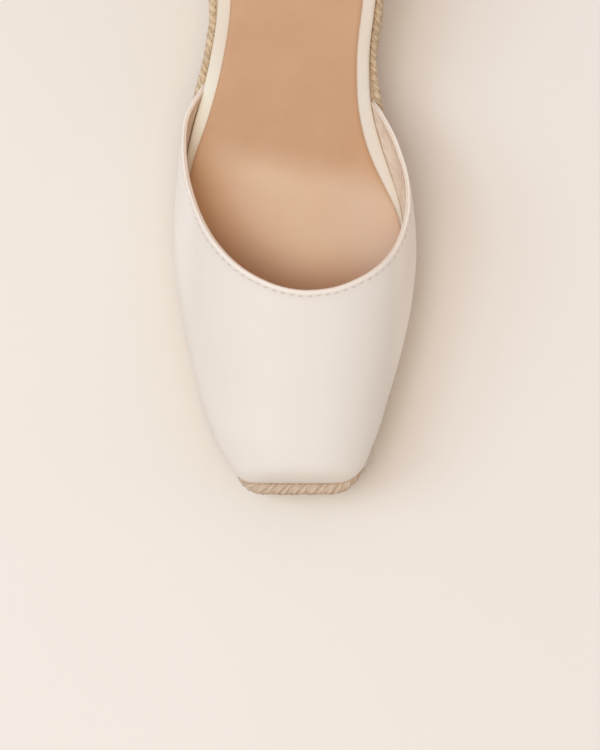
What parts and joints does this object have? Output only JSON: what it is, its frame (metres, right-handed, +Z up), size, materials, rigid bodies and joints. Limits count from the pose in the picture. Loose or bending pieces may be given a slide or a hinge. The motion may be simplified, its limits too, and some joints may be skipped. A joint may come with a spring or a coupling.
{
  "type": "espadrille mule sandal",
  "caption": "Square-toe espadrille mule for the right foot: closed leather vamp, open back, leather-covered footbed and a plaited jute wedge on a thin rubber outsole.",
  "frame": {"origin": "on the floor, under the middle of the shoe's length and width", "axes": "+Z up from the floor, +Y from the toe towards the heel, +X towards the inner (medial) side of the right foot"},
  "size_m": [0.0858, 0.2514, 0.0615],
  "materials": {
    "rubber_tread": "matt natural rubber with fine ribs",
    "jute": "plaited undyed jute, rough and fibrous",
    "wrap_leather": "smooth off-white leather wrapped over the board's edge",
    "sock_leather": "matt tan lining leather",
    "upper_leather": "smooth fine-grained off-white leather"
  },
  "bodies": {
    "root": {"outsole": "rubber_tread", "jute_wedge": "jute", "insole_board": "wrap_leather", "insock": "sock_leather", "upper": "upper_leather"}
  },
  "joints": []
}
